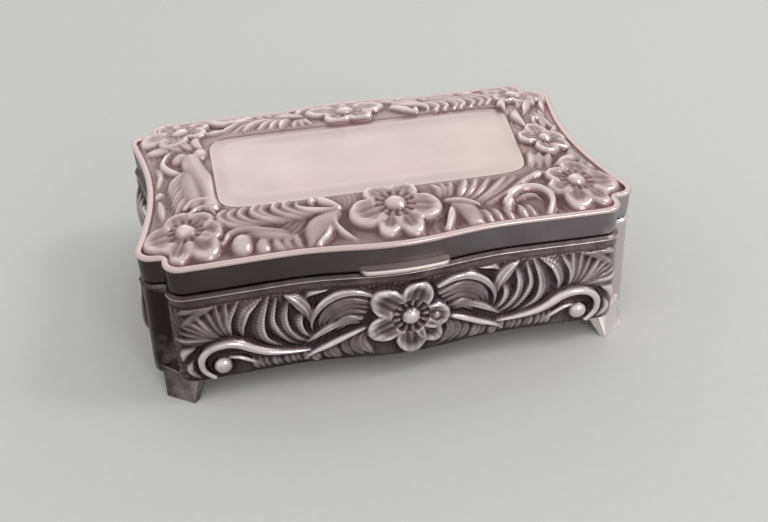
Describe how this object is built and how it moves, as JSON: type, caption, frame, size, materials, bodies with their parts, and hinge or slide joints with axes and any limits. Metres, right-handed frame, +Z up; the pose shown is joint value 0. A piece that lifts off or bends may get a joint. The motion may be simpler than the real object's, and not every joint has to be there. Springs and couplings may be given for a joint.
{
  "type": "trinket box",
  "caption": "Small footed metal trinket box with a back-hinged lid, a relief border round a smooth panel, a thumb lift and a velvet lining.",
  "frame": {"origin": "middle of the box's overall plan, on the surface that it stands on", "axes": "+X along the box to the right seen from the front, the front with the thumb lift faces -Y, +Z up"},
  "size_m": [0.092, 0.0672, 0.0302],
  "materials": {
    "silver_relief": "antiqued silver plate over a cast relief, bright on the high places and dark in the hollows",
    "silver_plain": "satin silver plate, slightly tarnished",
    "hinge_metal": "plated, slightly worn",
    "lining_card": "plain pressed card",
    "lining_velvet": "short-pile velvet, deep red"
  },
  "bodies": {
    "body": {"wall_front": "silver_relief", "wall_back": "silver_relief", "wall_left": "silver_relief", "wall_right": "silver_relief", "corner_post_front_left": "silver_plain", "corner_post_front_right": "silver_plain", "corner_post_back_left": "silver_plain", "corner_post_back_right": "silver_plain", "bottom_plate": "silver_plain", "hinge_leaf_body": "hinge_metal", "hinge_pin": "hinge_metal", "base_card": "lining_card", "base_velvet": "lining_velvet", "lining_front": "lining_velvet", "lining_back": "lining_velvet", "lining_left": "lining_velvet", "lining_right": "lining_velvet"},
    "lid": {"lid_shell": "silver_relief", "thumb_lift": "silver_plain", "lid_card": "lining_card", "lid_velvet": "lining_velvet", "hinge_leaf_lid": "hinge_metal"}
  },
  "joints": [
    {"name": "lid_hinge", "type": "hinge", "parent": "body", "child": "lid", "pos_m": [0, 0.03182, 0.0217], "axis": [-1, 0, 0], "range_deg": [0, 100]}
  ]
}
